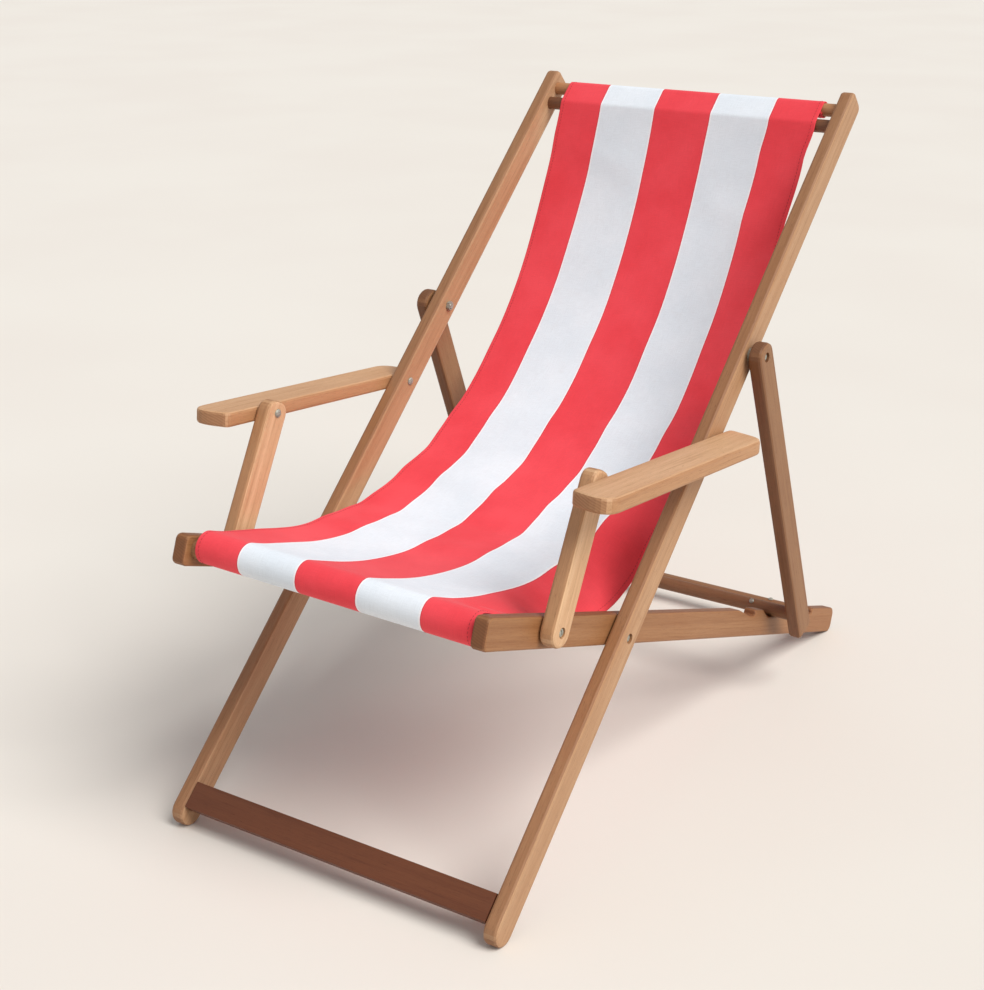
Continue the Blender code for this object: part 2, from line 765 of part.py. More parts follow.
clear_scene()
PARTS = new_collection("folding deck chair")
CUTTERS = new_collection("cutters", rendered=False)
WOOD = material("oiled hardwood", (0.43, 0.22, 0.11), 0.55)
ZINC = material("zinc plated steel", (0.42, 0.43, 0.40), 0.45, 1.0)
CANVAS = material("striped canvas", (0.72, 0.10, 0.11), 0.9)

LONG_FRAME = linkage("long frame axis", MAIN_Y, MAIN_Z, LONG_ANGLE)
SEAT_FRAME = linkage("seat frame axis", MAIN_Y, MAIN_Z, SEAT_ANGLE)
PROP_FRAME = linkage("prop axis", *PROP_PIVOT, PROP_ANGLE)
ARM_FRAME = linkage("armrest axis", *ARM_PIVOT, ARM_ANGLE)
STRUT_FRAME = linkage("strut axis", *STRUT_PIVOT, STRUT_ANGLE)

front_stretcher(LONG_FRAME)
top_dowels(LONG_FRAME)
rear_dowel = seat_dowels(SEAT_FRAME)
notch_dowel = prop_dowel(PROP_FRAME)
for label, sign in SIDES:
    long_rail(label, sign, LONG_FRAME)
    main_pivot(label, sign, LONG_FRAME)
    prop_pivot(label, sign, LONG_FRAME)
    seat_rail(label, sign, SEAT_FRAME)
    strut_pivot(label, sign, SEAT_FRAME)
    prop_leg(label, sign, PROP_FRAME)
    armrest(label, sign, ARM_FRAME)
    arm_pivot(label, sign, ARM_FRAME)
    arm_strut(label, sign, STRUT_FRAME)
    strut_screw(label, sign, STRUT_FRAME)
peg(
    "rear_dowel_screw",
    rear_dowel,
    SEAT_FRAME,
    REAR_DOWEL_AT,
    SEAT_OFF + REAR_DOWEL_OFF,
    REAR_PEG_AT,
    REAR_DOWEL_RADIUS,
    -SEAT_ANGLE,
)
peg(
    "prop_dowel_screw",
    notch_dowel,
    PROP_FRAME,
    PROP_DOWEL_AT,
    0,
    PROP_PEG_AT,
    PROP_DOWEL_RADIUS,
    PROP_PEG_LEAN - PROP_ANGLE,
)
sling()
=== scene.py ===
"""Looks for the folding deck chair: oiled hardwood, dull zinc and a striped canvas sling."""

import math

import bpy
from mathutils import Matrix, Vector, noise


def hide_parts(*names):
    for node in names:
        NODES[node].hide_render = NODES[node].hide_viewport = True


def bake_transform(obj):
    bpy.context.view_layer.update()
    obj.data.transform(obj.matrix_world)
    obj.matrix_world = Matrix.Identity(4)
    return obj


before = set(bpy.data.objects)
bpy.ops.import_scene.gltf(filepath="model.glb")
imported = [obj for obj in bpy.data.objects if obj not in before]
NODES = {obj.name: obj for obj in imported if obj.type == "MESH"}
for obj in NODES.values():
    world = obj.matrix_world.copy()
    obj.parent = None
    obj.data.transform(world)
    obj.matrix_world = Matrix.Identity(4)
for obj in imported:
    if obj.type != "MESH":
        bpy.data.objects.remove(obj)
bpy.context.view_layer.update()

# ---------------------------------------------------------------- measures

# The main pivot in (y, z), and the angle that the grain of each kind of board runs at.
MAIN = Vector((-0.2235, 0.297))
LONG_ANGLE = math.radians(42.40)
SEAT_ANGLE = math.radians(-20.61)
PROP_ANGLE = math.radians(-68.63)
ARM_ANGLE = math.radians(-6.38)

TOP_DOWEL_RADIUS = 0.010
FRONT_DOWEL_RADIUS = 0.0135
# How far along its board from the pivot each place is. The two top bars share one entry.
TOP_DOWELS_AT = (0.897, 0.866)
STRETCHER_AT = -0.391
PROP_PIVOT_AT = 0.4542
PROP_BAR_AT = 0.508
ARM_PIVOT_AT = 0.311
STRUT_TOP_AT = -0.313
# The same along a seat rail, and then how far off its centre line.
FRONT_DOWEL_AT = (-0.302, 0.010)
REAR_DOWEL_AT = (0.766, 0.010)
STRUT_PIVOT_AT = (-0.188, 0.012)

SLING_HALF = 0.2225
CLOTH = 0.0013
HEM_WIDTH = 0.0095
HEM_STEP = 0.0012
HEM_EXTRA = 0.0010
STITCH_INSET = 0.0062
STITCH_PITCH = 0.0052
STITCH_LENGTH = 0.0038
STITCH_RADIUS = 0.00042
# The white stripes run between these distances from the cloth's middle.
STRIPES = (0.049, 0.147)
YARN_PITCH = 0.00072

# The free run leaves the lower top bar turned this far, and meets the front bar at this slope.
TOP_TURN = math.radians(32)
FRONT_SLOPE = math.radians(22.83)
# The reach of the run's two curve handles.
TOP_SLACK = 0.430
FRONT_SLACK = 0.442
RUN_STEPS = 150
# The cloth's middle line stands this far off a bar, and its top end hangs free this far.
BAR_LIFT = 0.0003 + CLOTH / 2 + HEM_EXTRA
TOP_TAIL = 0.008

# The loose pocket round the front bar, and the seam that closes it under the cloth.
POCKET_RADIUS = 0.0215
POCKET_BACK = 0.0042
POCKET_LEFT = 0.0042
POCKET_RIGHT = -0.0054
POCKET_TURN = math.radians(218)
POCKET_STEPS = 24
POCKET_FROM = 0.76
SEAM_DROP = 0.0031
SEAM_START = 0.003
SEAM_OVERLAP = 0.010

# Soft waves across the cloth: place down the free run, width, height, and lean across.
RIPPLES = (
    (0.34, 0.030, 0.0016, 0.03),
    (0.47, 0.022, 0.0026, 0.02),
    (0.545, 0.020, -0.0030, 0.01),
    (0.62, 0.020, 0.0034, -0.01),
    (0.69, 0.020, -0.0032, 0.02),
    (0.765, 0.022, 0.0024, 0.02),
)
# The heights of the crease under the top bars and of the cloth's small unevenness.
CREASE = 0.0014
SLACK = 0.0013
# How far the right edge hangs, deepest beside the seat, and where it starts and ends.
DROOP = 0.057
FRONT_DROOP = 0.017
DROOP_IN = (0.55, 0.75)
DROOP_OUT = (0.80, 0.90)
# How far the left edge lifts beside the seat.
LEFT_RISE = 0.006
# The cloth's half width at places down its free run, on the chair's left and right.
EDGE_AT = (0.0, 0.05, 0.14, 0.30, 0.50, 0.72, 0.90, 1.0)
LEFT_HALF = (0.2225, 0.2245, 0.2265, 0.2225, 0.2190, 0.2175, 0.2165, 0.2150)
RIGHT_HALF = (0.2255, 0.2165, 0.2085, 0.2080, 0.2140, 0.2205, 0.2210, 0.2215)

# Painted shade: the narrow faces of a board are darkened by this much, standing in for the shade
# that falls on them.
PAINTED_EDGE_SHADE = (0.70, 0.58, 0.48)


def point_on(pivot, angle, along, off=0.0):
    """The (y, z) of a place along a board from its pivot, and off its centre line."""
    cos, sin = math.cos(angle), math.sin(angle)
    return Vector((pivot[0] + along * cos - off * sin, pivot[1] + along * sin + off * cos))


PROP_PIVOT = point_on(MAIN, LONG_ANGLE, PROP_PIVOT_AT)
ARM_PIVOT = point_on(MAIN, LONG_ANGLE, ARM_PIVOT_AT)
STRUT_PIVOT = point_on(MAIN, SEAT_ANGLE, *STRUT_PIVOT_AT)
STRUT_TOP = point_on(ARM_PIVOT, ARM_ANGLE, STRUT_TOP_AT)
STRUT_ANGLE = math.atan2(STRUT_TOP.y - STRUT_PIVOT.y, STRUT_TOP.x - STRUT_PIVOT.x)
UPPER, LOWER = (point_on(MAIN, LONG_ANGLE, place) for place in TOP_DOWELS_AT)
FRONT = point_on(MAIN, SEAT_ANGLE, *FRONT_DOWEL_AT)
REAR = point_on(MAIN, SEAT_ANGLE, *REAR_DOWEL_AT)
STRETCHER = point_on(MAIN, LONG_ANGLE, STRETCHER_AT)
PROP_BAR = point_on(PROP_PIVOT, PROP_ANGLE, PROP_BAR_AT)


# ---------------------------------------------------------------- node helpers


class Nodes:
    """Short calls for building one material's node tree."""

    def __init__(self, name):
        self.material = bpy.data.materials.new(name)
        self.material.use_nodes = True
        self.tree = self.material.node_tree
        self.shader = self.tree.nodes["Principled BSDF"]

    def add(self, kind, **settings):
        node = self.tree.nodes.new("ShaderNode" + kind)
        for key, value in settings.items():
            setattr(node, key, value)
        return node

    def join(self, source, target):
        self.tree.links.new(source, target)

    def put(self, value, socket):
        if isinstance(value, bpy.types.NodeSocket):
            self.join(value, socket)
        else:
            socket.default_value = value

    def math(self, operation, a, b=0.0, clamp=False):
        node = self.add("Math", operation=operation, use_clamp=clamp)
        self.put(a, node.inputs[0])
        self.put(b, node.inputs[1])
        return node.outputs[0]

    def ramp(self, value, low, high):
        """0 below low, 1 above high, smooth between."""
        node = self.add("MapRange", interpolation_type="SMOOTHSTEP")
        self.put(value, node.inputs["Value"])
        node.inputs["From Min"].default_value = low
        node.inputs["From Max"].default_value = high
        return node.outputs["Result"]

    def mix(self, share, a, b, blend="MIX"):
        node = self.add("Mix", data_type="RGBA", blend_type=blend)
        self.put(share, node.inputs["Factor"])
        for value, socket in ((a, node.inputs[6]), (b, node.inputs[7])):
            self.put(value if isinstance(value, bpy.types.NodeSocket) else (*value, 1), socket)
        return node.outputs[2]

    def parts(self, vector):
        node = self.add("SeparateXYZ")
        self.join(vector, node.inputs[0])
        return node.outputs

    def whole(self, x, y, z):
        node = self.add("CombineXYZ")
        for value, socket in zip((x, y, z), node.inputs):
            self.put(value, socket)
        return node.outputs[0]

    def noise(self, vector, scale, detail=3.0, roughness=0.55, distortion=0.0):
        node = self.add("TexNoise")
        self.join(vector, node.inputs["Vector"])
        node.inputs["Scale"].default_value = scale
        node.inputs["Detail"].default_value = detail
        node.inputs["Roughness"].default_value = roughness
        node.inputs["Distortion"].default_value = distortion
        return node.outputs["Fac"]

    def scaled(self, vector, scale, shift=(0, 0, 0)):
        node = self.add("Mapping")
        self.join(vector, node.inputs["Vector"])
        node.inputs["Scale"].default_value = scale
        node.inputs["Location"].default_value = shift
        return node.outputs[0]

    def bump(self, height, strength, distance):
        node = self.add("Bump")
        self.join(height, node.inputs["Height"])
        node.inputs["Strength"].default_value = strength
        node.inputs["Distance"].default_value = distance
        self.join(node.outputs[0], self.shader.inputs["Normal"])


def linear(red, green, blue):
    """A colour given as sRGB from 0 to 255."""
    values = []
    for value in (red, green, blue):
        value /= 255
        values.append(value / 12.92 if value <= 0.04045 else ((value + 0.055) / 1.055) ** 2.4)
    return tuple(values)


# ---------------------------------------------------------------- wood


def board_axes(n, pivot, angle):
    """Where a point lies along a board, above its centre line, and across the chair."""
    place = n.parts(n.add("TexCoord").outputs["Object"])
    y = n.math("SUBTRACT", place[1], pivot[0])
    z = n.math("SUBTRACT", place[2], pivot[1])
    cos, sin = math.cos(angle), math.sin(angle)
    along = n.math("ADD", n.math("MULTIPLY", y, cos), n.math("MULTIPLY", z, sin))
    off = n.math("SUBTRACT", n.math("MULTIPLY", z, cos), n.math("MULTIPLY", y, sin))
    return along, off, place[0]


def rod_axes(n, centre):
    """The same three for a bar that runs across the chair."""
    place = n.parts(n.add("TexCoord").outputs["Object"])
    y = n.math("SUBTRACT", place[1], centre[0])
    z = n.math("SUBTRACT", place[2], centre[1])
    return place[0], y, z


def facing(n, angle):
    """How far the surface faces along a direction in the chair's side plane. None is across it."""
    normal = n.parts(n.add("TexCoord").outputs["Normal"])
    if angle is None:
        return normal[0]
    return n.math(
        "ADD",
        n.math("MULTIPLY", normal[1], math.cos(angle)),
        n.math("MULTIPLY", normal[2], math.sin(angle)),
    )


def end_share(n, angle):
    """1 on the faces that cut across the grain. Angle is None for a bar across the chair."""
    return n.ramp(n.math("ABSOLUTE", facing(n, angle)), 0.72, 0.93)


def wood(name, axes, angle, tone_and_shade, seed, flat=False):
    """Oiled hardwood, with painted shade on its narrow faces. The tone multiplies its colour, and
    for boards that sit in shade it holds painted shade as well. A flat board lies on its wide face.
    """
    n = Nodes(name)
    along, off, across = axes(n)
    grain = n.whole(along, off, across)
    shift = (seed * 3.1, seed * 1.7, seed * 2.3)
    bands = n.noise(n.scaled(grain, (1.4, 42, 30), shift), 1.0, 4, 0.6, 0.35)
    streaks = n.noise(n.scaled(grain, (7, 330, 260), shift), 1.0, 3, 0.65, 0.2)
    fibres = n.noise(n.scaled(grain, (38, 1500, 1300), shift), 1.0, 2, 0.6)
    pores = n.noise(n.scaled(grain, (95, 2100, 2100), shift), 1.0, 1, 0.5)
    patches = n.noise(n.scaled(grain, (3.2, 9, 5), shift), 1.0, 3, 0.5)

    def shade(r, g, b):
        return tuple(value * share for value, share in zip(linear(r, g, b), tone_and_shade))

    light, middle, dark = shade(234, 196, 158), shade(212, 168, 128), shade(168, 120, 80)
    colour = n.mix(n.ramp(bands, 0.30, 0.68), middle, light)
    colour = n.mix(n.math("MULTIPLY", n.ramp(streaks, 0.50, 0.74), 0.42), colour, dark)
    warm = n.math("MULTIPLY", n.ramp(patches, 0.46, 0.72), 0.35)
    colour = n.mix(warm, colour, shade(214, 158, 106))
    colour = n.mix(n.math("MULTIPLY", n.ramp(fibres, 0.35, 0.75), 0.30), colour, dark)
    pits = n.ramp(pores, 0.66, 0.72)
    colour = n.mix(n.math("MULTIPLY", pits, 0.45), colour, shade(118, 78, 50))

    # Painted shade on the narrow faces of each board, picked out by which way the surface faces.
    if angle is not None:
        narrow = n.math("ABSOLUTE", facing(n, None if flat else angle + math.pi / 2))
        share = n.math("MULTIPLY", n.ramp(narrow, 0.55, 0.95), 0.9)
        colour = n.mix(share, colour, PAINTED_EDGE_SHADE, "MULTIPLY")
    ends = end_share(n, angle)
    bent = n.noise(n.scaled(grain, (1, 26, 20), shift), 1.0, 2, 0.5)
    rings = n.math("ADD", n.math("MULTIPLY", off, 1700), n.math("MULTIPLY", across, 620))
    rings = n.math("SINE", n.math("ADD", rings, n.math("MULTIPLY", bent, 22)))
    ring_colour = n.mix(n.ramp(rings, -0.9, 1.0), shade(160, 112, 76), shade(178, 130, 92))
    colour = n.mix(n.math("MULTIPLY", ends, 0.85), colour, ring_colour)
    n.join(colour, n.shader.inputs["Base Color"])

    rough = n.math("ADD", 0.40, n.math("MULTIPLY", streaks, 0.24))
    rough = n.math("ADD", rough, n.math("MULTIPLY", pits, 0.15))
    rough = n.math("ADD", rough, n.math("MULTIPLY", ends, 0.12))
    n.join(rough, n.shader.inputs["Roughness"])
    height = n.math("ADD", n.math("MULTIPLY", streaks, 0.5), n.math("MULTIPLY", fibres, 0.35))
    height = n.math("SUBTRACT", height, n.math("MULTIPLY", pits, 0.6))
    n.bump(height, 0.35, 0.0004)
    return n.material


def paint(material, *names):
    for name in names:
        obj = NODES[name]
        obj.data.materials.clear()
        obj.data.materials.append(material)


def paint_wood():
    both = ("left", "right")
    # Each board's tone is partly its own wood and partly painted shade: the low boards are darkened
    # for the shade they sit in.
    boards = (
        ("long_rail", MAIN, LONG_ANGLE, (0.63, 0.55, 0.48), 1.0),
        ("seat_rail", MAIN, SEAT_ANGLE, (0.44, 0.31, 0.20), 2.0),
        ("prop_leg", PROP_PIVOT, PROP_ANGLE, (0.37, 0.27, 0.19), 3.0),
        ("armrest", ARM_PIVOT, ARM_ANGLE, (0.86, 0.80, 0.73), 4.0),
        ("arm_strut", STRUT_PIVOT, STRUT_ANGLE, (0.86, 0.81, 0.74), 5.0),
    )
    for name, pivot, angle, tone_and_shade, seed in boards:
        for index, side in enumerate(both):
            material = wood(
                f"hardwood {name} {side}",
                lambda n, pivot=pivot, angle=angle: board_axes(n, pivot, angle),
                angle,
                tone_and_shade,
                seed + 0.37 * index,
                flat=name == "armrest",
            )
            paint(material, f"{name}_{side}")
    # The bars' tones are partly painted shade: darkest for the stretcher and the lower top bar,
    # which sit in the shade under the cloth.
    bars = (
        ("front_stretcher", STRETCHER, (0.19, 0.085, 0.045), 6.0),
        ("top_dowel_upper", UPPER, (0.62, 0.44, 0.31), 7.0),
        ("top_dowel_lower", LOWER, (0.235, 0.14, 0.09), 8.0),
        ("seat_front_dowel", FRONT, (0.45, 0.35, 0.27), 9.0),
        ("seat_rear_dowel", REAR, (0.34, 0.25, 0.19), 10.0),
        ("prop_dowel", PROP_BAR, (0.34, 0.25, 0.19), 11.0),
    )
    for name, centre, tone_and_shade, seed in bars:
        axes = lambda n, centre=centre: rod_axes(n, centre)
        paint(wood(f"hardwood {name}", axes, None, tone_and_shade, seed), name)


# ---------------------------------------------------------------- zinc


def zinc():
    """Zinc plate gone dull, with darker tarnish in patches and fine dark grit."""
    n = Nodes("dull zinc plate")
    place = n.add("TexCoord").outputs["Object"]
    patches = n.noise(place, 420, 4, 0.6)
    grit = n.noise(place, 2600, 2, 0.6)
    tarnish = n.ramp(patches, 0.42, 0.66)
    colour = n.mix(tarnish, linear(176, 176, 164), linear(136, 133, 121))
    colour = n.mix(n.math("MULTIPLY", n.ramp(grit, 0.55, 0.75), 0.4), colour, linear(82, 74, 62))
    n.join(colour, n.shader.inputs["Base Color"])
    n.join(n.math("ADD", 0.48, n.math("MULTIPLY", tarnish, 0.2)), n.shader.inputs["Roughness"])
    n.shader.inputs["Metallic"].default_value = 0.45
    n.bump(n.math("ADD", grit, n.math("MULTIPLY", patches, 0.5)), 0.25, 0.00015)
    return n.material


def paint_zinc():
    plate = zinc()
    words = ("bolt", "washer", "nut", "spacer", "screw")
    paint(plate, *[name for name in NODES if any(word in name for word in words)])


# ---------------------------------------------------------------- canvas


def cloth_axes(n):
    """Across and along the cloth, in metres, from its UV map."""
    uv = n.parts(n.add("UVMap", uv_map="cloth").outputs[0])
    return n.math("SUBTRACT", uv[0], 0.5), n.math("MULTIPLY", uv[1], 2.0)


def canvas():
    """Plain-weave cotton canvas with woven stripes: red at the middle and the sides."""
    n = Nodes("striped canvas")
    across, along = cloth_axes(n)
    wander = n.noise(n.whole(across, along, 0.0), 260, 2, 0.5)
    wander = n.math("MULTIPLY", n.math("SUBTRACT", wander, 0.5), 0.0006)
    side = n.math("ABSOLUTE", n.math("ADD", across, wander))
    inner, outer = STRIPES
    white = n.math(
        "MULTIPLY",
        n.ramp(side, inner - 0.0003, inner + 0.0003),
        n.math("SUBTRACT", 1.0, n.ramp(side, outer - 0.0003, outer + 0.0003)),
    )
    warp = n.math("SINE", n.math("MULTIPLY", across, 2 * math.pi / YARN_PITCH))
    weft = n.math("SINE", n.math("MULTIPLY", along, 2 * math.pi / (YARN_PITCH * 1.15)))
    over = n.math("MULTIPLY", warp, weft)
    slub = n.noise(n.scaled(n.whole(across, along, 0.0), (1500, 55, 1)), 1.0, 2, 0.6)
    pick = n.noise(n.scaled(n.whole(across, along, 0.0), (60, 1300, 1)), 1.0, 2, 0.6)
    cloud = n.noise(n.whole(across, along, 0.0), 9, 4, 0.55)
    soil = n.noise(n.whole(across, along, 3.0), 30, 5, 0.6)

    red = n.mix(n.ramp(cloud, 0.3, 0.7), linear(240, 66, 76), linear(248, 78, 88))
    pale = n.mix(n.ramp(cloud, 0.3, 0.7), linear(231, 238, 245), linear(239, 244, 250))
    pale = n.mix(n.math("MULTIPLY", n.ramp(soil, 0.55, 0.8), 0.25), pale, linear(226, 226, 228))
    colour = n.mix(white, red, pale)
    for into, width, share, line in (
        (0.0012, 0.0012, 0.90, linear(255, 250, 251)),
        (-0.0006, 0.0006, 0.55, linear(188, 36, 50)),
    ):
        gaps = [
            n.math("ABSOLUTE", n.math("SUBTRACT", side, edge))
            for edge in (inner + into, outer - into)
        ]
        border = n.math("SUBTRACT", 1.0, n.ramp(n.math("MINIMUM", *gaps), width * 0.7, width * 1.3))
        colour = n.mix(n.math("MULTIPLY", border, share), colour, line)
    yarn = n.math("ADD", n.math("MULTIPLY", slub, 0.5), n.math("MULTIPLY", pick, 0.5))
    thick = n.math("MULTIPLY", n.ramp(yarn, 0.35, 0.65), 0.10)
    colour = n.mix(thick, colour, (0.16, 0.10, 0.11), "MULTIPLY")
    # Painted shade: the weave's hollows are darkened.
    weave_hollow_shade = n.math("SUBTRACT", 1.0, n.ramp(over, -1.0, 0.1))
    colour = n.mix(n.math("MULTIPLY", weave_hollow_shade, 0.12), colour, (0.30, 0.20, 0.22), "MULTIPLY")
    n.join(colour, n.shader.inputs["Base Color"])
    n.shader.inputs["Roughness"].default_value = 0.86
    n.shader.inputs["Specular IOR Level"].default_value = 0.25
    n.shader.inputs["Sheen Weight"].default_value = 0.12
    n.shader.inputs["Sheen Roughness"].default_value = 0.45
    height = n.math("ADD", n.math("MULTIPLY", over, 0.5), n.math("MULTIPLY", yarn, 0.6))
    n.bump(height, 0.30, 0.00025)
    return n.material


def thread():
    """Red polyester sewing thread, a little darker than the cloth, with its twist."""
    n = Nodes("sewing thread")
    place = n.add("TexCoord").outputs["Object"]
    twist = n.noise(place, 3200, 2, 0.6)
    colour = n.mix(n.ramp(twist, 0.3, 0.7), linear(150, 22, 34), linear(196, 52, 60))
    n.join(colour, n.shader.inputs["Base Color"])
    n.shader.inputs["Roughness"].default_value = 0.6
    n.bump(twist, 0.4, 0.0001)
    return n.material


# ---------------------------------------------------------------- sling


def arc(centre, radius, first, last, steps):
    points = []
    for step in range(steps + 1):
        angle = first + (last - first) * step / steps
        points.append(centre + radius * Vector((math.cos(angle), math.sin(angle))))
    return points


def curve(start, start_handle, end_handle, end, steps):
    points = []
    for step in range(1, steps + 1):
        t = step / steps
        points.append(
            start * (1 - t) ** 3
            + start_handle * 3 * t * (1 - t) ** 2
            + end_handle * 3 * t**2 * (1 - t)
            + end * t**3
        )
    return points


def sling_line():
    """The cloth's middle line in (y, z) as far as the front bar, and where its free run starts."""
    top = TOP_DOWEL_RADIUS + BAR_LIFT
    square = math.pi / 2 + LONG_ANGLE
    along = Vector((math.cos(LONG_ANGLE), math.sin(LONG_ANGLE)))
    under = UPPER - along * top
    path = [under + Vector((math.cos(square), math.sin(square))) * TOP_TAIL]
    path += arc(UPPER, top, LONG_ANGLE + math.pi, LONG_ANGLE + 2.5 * math.pi, 40)
    path += arc(LOWER, top, square, square + TOP_TURN, 6)
    first = len(path) - 1
    down = LONG_ANGLE + math.pi + TOP_TURN
    touch = pocket_point(FRONT, FRONT_DOWEL_RADIUS + BAR_LIFT, 0)
    rise = Vector((math.cos(FRONT_SLOPE), -math.sin(FRONT_SLOPE)))
    path += curve(
        path[-1],
        path[-1] + TOP_SLACK * Vector((math.cos(down), math.sin(down))),
        touch + FRONT_SLACK * rise,
        touch,
        RUN_STEPS,
    )
    return path, first


def pocket_point(centre, radius, turned):
    """A point round the front pocket, from where the cloth first meets it."""
    angle = math.pi / 2 - FRONT_SLOPE + turned
    return centre + radius * Vector((math.cos(angle), math.sin(angle)))


def pocket_centre(wide):
    """The loose pocket sits back from its bar, higher on the left than on the right."""
    rise = POCKET_LEFT + (POCKET_RIGHT - POCKET_LEFT) * (wide + 1) / 2
    return FRONT + Vector((POCKET_BACK, rise))


def pocket_line(wide):
    """The cloth from the free run's end: round the pocket, back up to the sheet, and along it."""
    centre = pocket_centre(wide)
    points = [
        pocket_point(centre, POCKET_RADIUS, POCKET_TURN * step / POCKET_STEPS)
        for step in range(1, POCKET_STEPS + 1)
    ]
    leaves = math.pi / 2 - FRONT_SLOPE + POCKET_TURN
    start, ahead = points[-1], Vector((-math.sin(leaves), math.cos(leaves)))
    sheet = pocket_point(centre, POCKET_RADIUS - SEAM_DROP, 0)
    back = Vector((math.cos(FRONT_SLOPE), -math.sin(FRONT_SLOPE)))
    reach = (sheet - start).cross(ahead) / ahead.cross(back)
    meet = sheet + back * reach
    points += [start.lerp(meet, step / 8) for step in range(1, 8)]
    points += [meet + back * (SEAM_START + SEAM_OVERLAP * step / 3) for step in range(4)]
    return points


def new_object(name, points, faces, material):
    """A smooth-shaded mesh object in the scene."""
    mesh = bpy.data.meshes.new(name)
    mesh.from_pydata(points, [], faces)
    mesh.materials.append(material)
    for polygon in mesh.polygons:
        polygon.use_smooth = True
    obj = bpy.data.objects.new(name, mesh)
    bpy.context.scene.collection.objects.link(obj)
    return obj


def bell(value, centre, width):
    return math.exp(-(((value - centre) / width) ** 2))


def smooth(value, low, high):
    t = min(max((value - low) / (high - low), 0.0), 1.0)
    return t * t * (3 - 2 * t)


def free_share(share):
    """0 where the cloth touches a bar, 1 on its free run."""
    return smooth(share, 0.0, 0.06) * (1 - smooth(share, 0.955, 1.0))


def sag(x, share):
    """How far the cloth stands off its middle line, along its upward normal, in metres."""
    if not 0 < share < 1:
        return 0.0
    free = free_share(share)
    wide = x / SLING_HALF
    right = DROOP * smooth(share, *DROOP_IN) * (1 - smooth(share, *DROOP_OUT))
    right += FRONT_DROOP * smooth(share, *DROOP_OUT) * (1 - smooth(share, 0.96, 1.0))
    right *= smooth(wide, 0.60, 1.05)
    left = smooth(-wide, 0.30, 1.0) * smooth(share, 0.60, 0.76) * (1 - smooth(share, 0.90, 1.0))
    ripples = 0.0
    for place, width, height, lean in RIPPLES:
        ripples += height * bell(share + lean * wide, place, width)
    crease = CREASE * bell(share, 0.10 + 0.05 * wide, 0.02) * smooth(abs(wide), 0.15, 0.4)
    slack = SLACK * noise.noise(Vector((x * 9, share * 16, 0.3)))
    return free * (-right + LEFT_RISE * left + ripples + crease + slack)


def half_width(share, side):
    """The cloth's half width, eased between the places where it is known."""
    widths = LEFT_HALF if side < 0 else RIGHT_HALF
    share = min(max(share, 0.0), 1.0)
    for low, high, a, b in zip(EDGE_AT, EDGE_AT[1:], widths, widths[1:]):
        if share <= high:
            return a + (b - a) * smooth(share, low, high)
    return widths[-1]


def sling_grid():
    """Rows of middle-line points down the cloth, and how far down the cloth each row is."""
    path, first = sling_line()
    last = len(path) - 1
    steps = [0.0]
    for a, b in zip(path, path[1:]):
        steps.append(steps[-1] + (b - a).length)
    touch = path[last]
    hem = [HEM_WIDTH, HEM_WIDTH - HEM_STEP, 0.0016, 0.0005, 0.0]
    half = [step / 26 for step in range(25)] + [1 - inset / SLING_HALF for inset in hem]
    columns = [-value for value in half[:0:-1]] + half
    lines = []
    for column in columns:
        moved = pocket_point(pocket_centre(column), POCKET_RADIUS, 0) - touch
        line = []
        for index, point in enumerate(path):
            ahead = path[min(index + 1, last)] - path[max(index - 1, 0)]
            out = Vector((ahead.y, -ahead.x)).normalized()
            share = (steps[index] - steps[first]) / (steps[last] - steps[first])
            x = column * half_width(share, column)
            line.append(point + out * sag(x, share) + moved * smooth(share, POCKET_FROM, 1.0))
        lines.append(line + pocket_line(column))
    rows, lengths = [], [0.0]
    middle = lines[len(columns) // 2]
    for a, b in zip(middle, middle[1:]):
        lengths.append(lengths[-1] + (b - a).length)
    for index, length in enumerate(lengths):
        share = (min(length, lengths[last]) - lengths[first]) / (lengths[last] - lengths[first])
        row = []
        for column, line in zip(columns, lines):
            ahead = line[min(index + 1, len(line) - 1)] - line[max(index - 1, 0)]
            out = Vector((ahead.y, -ahead.x)).normalized()
            row.append((column * half_width(share, column), line[index], out, column))
        rows.append((length, share, row))
    return rows, lengths, path[first], touch


def weave_at(x, share):
    """The cloth's own coordinate at x: the left stripe is drawn out a little down the back."""
    down_back = smooth(share, 0.08, 0.3) * (1 - smooth(share, 0.85, 1.0))
    return x + 0.005 * bell(x, -0.150, 0.05) * down_back


